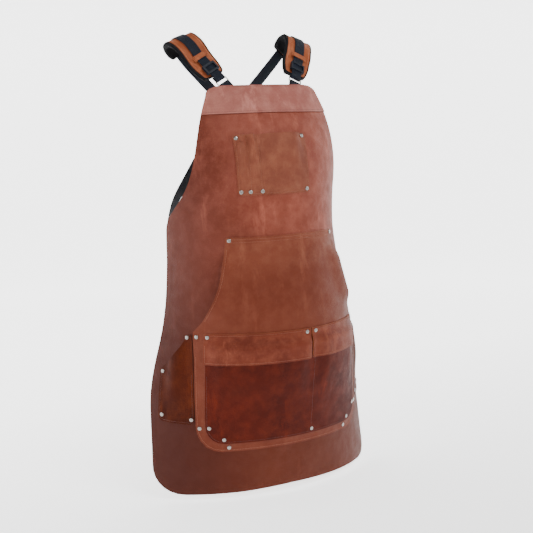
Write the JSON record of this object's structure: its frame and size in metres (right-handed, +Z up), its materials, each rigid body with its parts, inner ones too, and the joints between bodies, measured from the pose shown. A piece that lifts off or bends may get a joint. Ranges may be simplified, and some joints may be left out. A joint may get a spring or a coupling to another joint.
{
  "type": "welding apron",
  "caption": "Leather bib apron with riveted chest, hand, cargo and side pockets, hinged flaps, padded webbing shoulder straps crossing the back and a waist buckle.",
  "frame": {"origin": "centre point between the two shoulder pads, where a wearer or a hanger holds the apron", "axes": "+Z up, -Y out of the front of the apron, +X to the right of a viewer facing the front"},
  "size_m": [0.5668, 0.3056, 1.0199],
  "materials": {
    "buckle_plastic": "moulded acetal, black",
    "leather_band": "matt split grain, red brown",
    "leather_body": "matt split grain, dark red brown",
    "leather_cargo": "matt split grain, dark brown",
    "leather_flap": "matt split grain, brown",
    "leather_pad": "matt grained leather, orange brown",
    "leather_pocket": "matt split grain, orange brown",
    "nickel_steel": "nickel plated",
    "pad_fabric": "black knitted cover over foam",
    "webbing": "woven nylon webbing, near black"
  },
  "bodies": {
    "apron": {"apron_body": "leather_body", "back_strap_left": "webbing", "back_strap_right": "webbing", "bib_top_band": "leather_band", "buckle_female": "buckle_plastic", "cargo_pocket": "leather_cargo", "chest_pocket": "leather_pocket", "cross_patch_inner": "leather_pad", "cross_patch_outer": "leather_pad", "flap_band_left": "leather_flap", "flap_band_right": "leather_flap", "hand_pocket": "leather_pocket", "pad_foam_left": "pad_fabric", "pad_foam_right": "pad_fabric", "pad_keeper_left": "leather_pad", "pad_keeper_right": "leather_pad", "pad_shell_left": "leather_pad", "pad_shell_right": "leather_pad", "rivet_cargo_1": "nickel_steel", "rivet_cargo_2": "nickel_steel", "rivet_cargo_3": "nickel_steel", "rivet_cargo_4": "nickel_steel", "rivet_cargo_5": "nickel_steel", "rivet_chest_1": "nickel_steel", "rivet_chest_2": "nickel_steel", "rivet_chest_3": "nickel_steel", "rivet_chest_4": "nickel_steel", "rivet_chest_5": "nickel_steel", "rivet_chest_6": "nickel_steel", "rivet_flap_1": "nickel_steel", "rivet_flap_2": "nickel_steel", "rivet_flap_3": "nickel_steel", "rivet_flap_4": "nickel_steel", "rivet_hand_corner_1": "nickel_steel", "rivet_hand_corner_2": "nickel_steel", "rivet_hand_low_1": "nickel_steel", "rivet_hand_low_2": "nickel_steel", "rivet_hand_low_3": "nickel_steel", "rivet_hand_low_4": "nickel_steel", "rivet_hand_top_1": "nickel_steel", "rivet_hand_top_2": "nickel_steel", "side_pocket_left": "leather_pocket", "side_pocket_right": "leather_pocket", "strap_tab_left": "webbing", "strap_tab_right": "webbing", "strap_web_left": "webbing", "strap_web_right": "webbing", "waist_ring_left": "nickel_steel", "waist_ring_right": "nickel_steel", "waist_strap_left": "webbing", "waist_strap_right": "webbing", "waist_tab_left": "webbing", "waist_tab_right": "webbing"},
    "flap_left_body": {"flap_left": "leather_flap"},
    "flap_right_body": {"flap_right": "leather_flap"},
    "slider_left_body": {"slider_left": "buckle_plastic"},
    "slider_right_body": {"slider_right": "buckle_plastic"},
    "ring_left_body": {"ring_left": "nickel_steel"},
    "ring_right_body": {"ring_right": "nickel_steel"},
    "buckle_male_body": {"buckle_male": "buckle_plastic"}
  },
  "joints": [
    {"name": "flap_left_hinge", "type": "hinge", "parent": "apron", "child": "flap_left_body", "pos_m": [-0.09564, -0.19305, -0.64731], "axis": [-0.9233, 0.3842, 0], "range_deg": [0, 95]},
    {"name": "flap_right_hinge", "type": "hinge", "parent": "apron", "child": "flap_right_body", "pos_m": [0.12045, -0.18109, -0.64719], "axis": [-0.8757, -0.4829, 0], "range_deg": [0, 95]},
    {"name": "slider_left_slide", "type": "slide", "parent": "apron", "child": "slider_left_body", "axis": [-0.4578, 0.5087, 0.7291], "range_m": [-0.005, 0.012]},
    {"name": "ring_left_tilt", "type": "hinge", "parent": "apron", "child": "ring_left_body", "pos_m": [-0.0905, -0.0775, -0.094], "axis": [-0.8831, -0.1659, -0.4388], "range_deg": [-3, 3]},
    {"name": "slider_right_slide", "type": "slide", "parent": "apron", "child": "slider_right_body", "axis": [0.4578, 0.5087, 0.7291], "range_m": [-0.005, 0.012]},
    {"name": "ring_right_tilt", "type": "hinge", "parent": "apron", "child": "ring_right_body", "pos_m": [0.0905, -0.0775, -0.094], "axis": [0.8831, -0.1659, -0.4388], "range_deg": [-3, 3]},
    {"name": "buckle_slide", "type": "slide", "parent": "apron", "child": "buckle_male_body", "axis": [1, 0, 0], "range_m": [0, 0.0195]}
  ]
}
